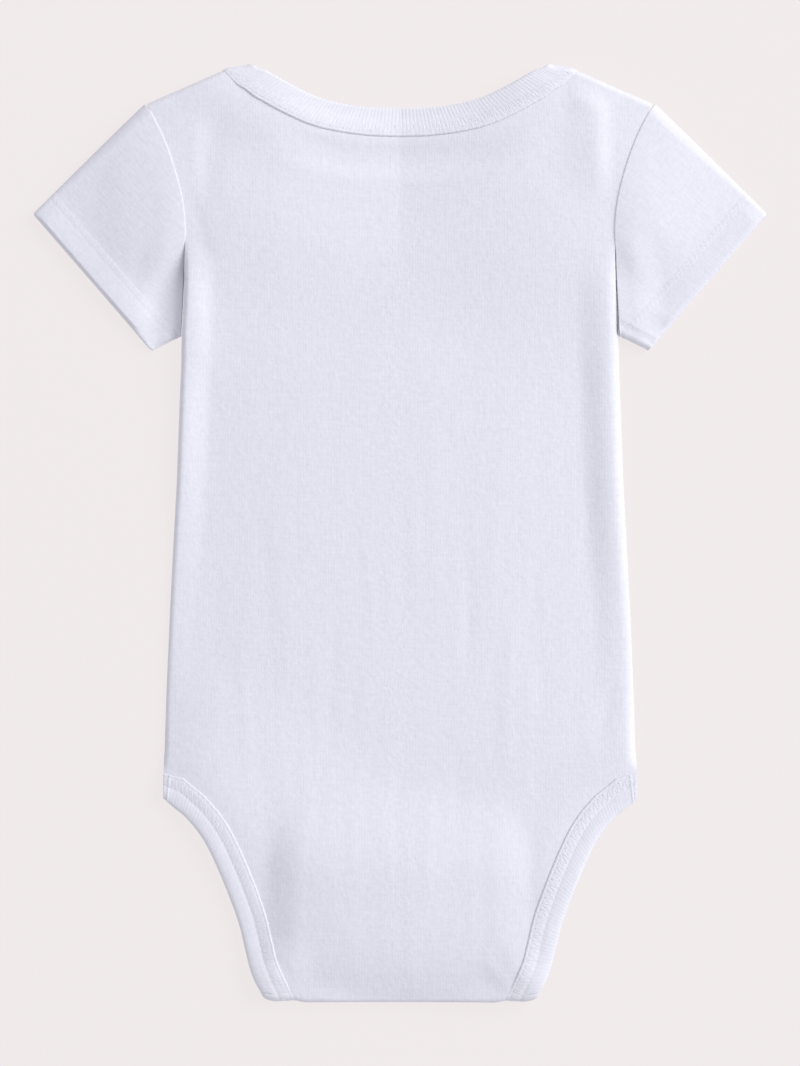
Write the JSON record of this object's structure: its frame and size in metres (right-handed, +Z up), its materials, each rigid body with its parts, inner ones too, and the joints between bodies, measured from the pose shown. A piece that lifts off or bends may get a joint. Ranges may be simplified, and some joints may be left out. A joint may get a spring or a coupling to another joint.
{
  "type": "short-sleeved baby onesie",
  "caption": "Short-sleeved rib-knit baby bodysuit laid flat with its back up, with lap shoulders, bound neck and leg openings and a snapped crotch.",
  "frame": {"origin": "middle of the garment's bounding box at the height of the table that it lies on", "axes": "+Z up from the table, +Y from the crotch towards the neck, +X towards the wearer's right, with the back facing up"},
  "size_m": [0.3134, 0.4037, 0.0107],
  "materials": {
    "jersey": "matte rib-knit cotton jersey",
    "rib": "matte rib-knit cotton binding with sewn edges",
    "snap_metal": "satin nickel"
  },
  "bodies": {
    "root": {"back_panel": "jersey", "front_panel": "jersey", "sleeve_left": "jersey", "sleeve_right": "jersey", "neck_binding_back": "rib", "neck_binding_front": "rib", "leg_binding_back_left": "rib", "leg_binding_back_right": "rib", "leg_binding_front_left": "rib", "leg_binding_front_right": "rib", "snap_socket_1": "snap_metal", "snap_socket_2": "snap_metal", "snap_socket_3": "snap_metal", "snap_stud_1": "snap_metal", "snap_stud_2": "snap_metal", "snap_stud_3": "snap_metal"}
  },
  "joints": []
}
